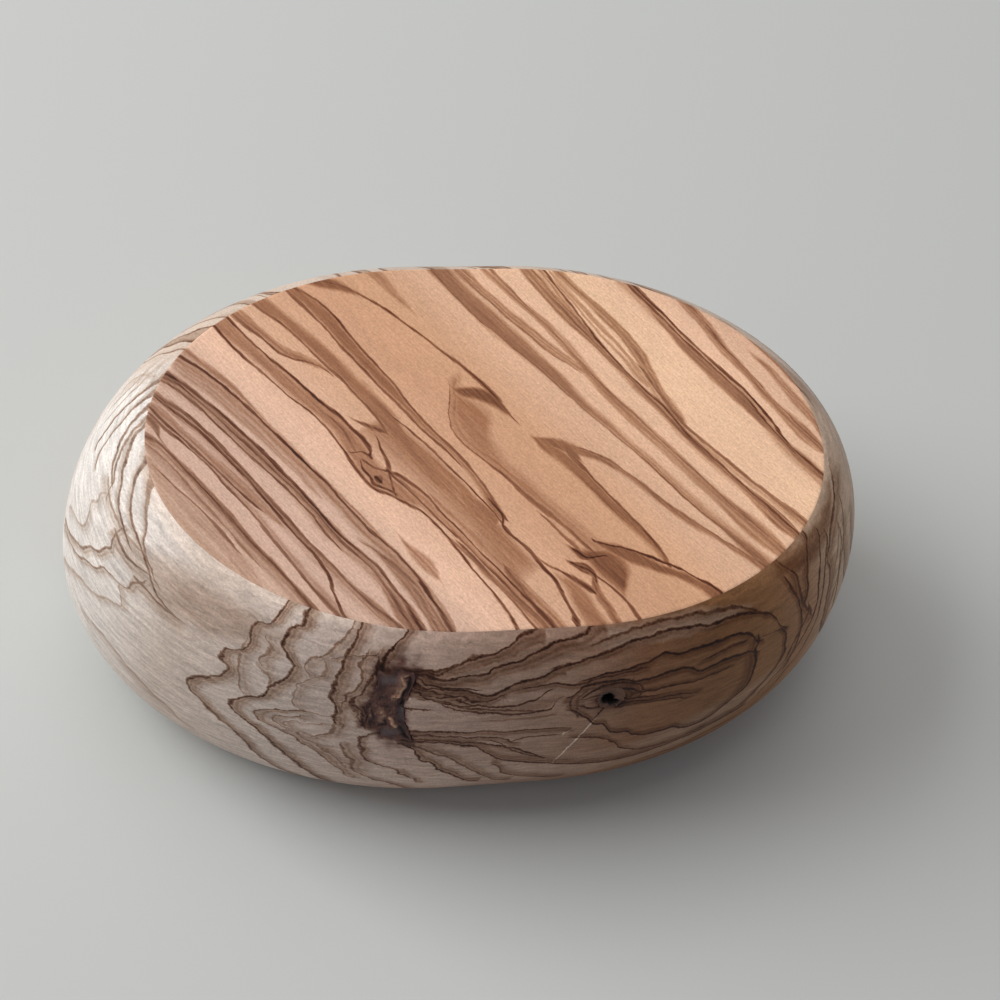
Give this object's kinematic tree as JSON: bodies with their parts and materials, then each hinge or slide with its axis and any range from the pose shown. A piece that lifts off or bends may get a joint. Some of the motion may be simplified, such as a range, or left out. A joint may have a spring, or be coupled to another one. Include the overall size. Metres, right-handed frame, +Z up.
{
  "type": "oval wooden dish",
  "caption": "Oval olive-wood serving dish with a bulging wall, a flat foot, a rounded rim and dead knots seated in the wall; stored upturned on its rim.",
  "frame": {"origin": "middle of the rim plane, on which the upturned dish stands", "axes": "+X along the dish's length, +Y across it away from the wall with the knots, +Z up, out of the foot face. The dish is stored upside down, as pictured: turned by 180 degrees about X it stands on its foot with the hollow open upwards."},
  "size_m": [0.15, 0.098, 0.05],
  "materials": {
    "olive_wood": "sanded and lightly oiled, close to matte",
    "bark": "rough, cracked bark",
    "knot_wood": "dark end grain, sanded"
  },
  "bodies": {
    "root": {"dish_body": "olive_wood", "bark_knot": "bark", "pin_knot": "knot_wood"}
  },
  "joints": []
}
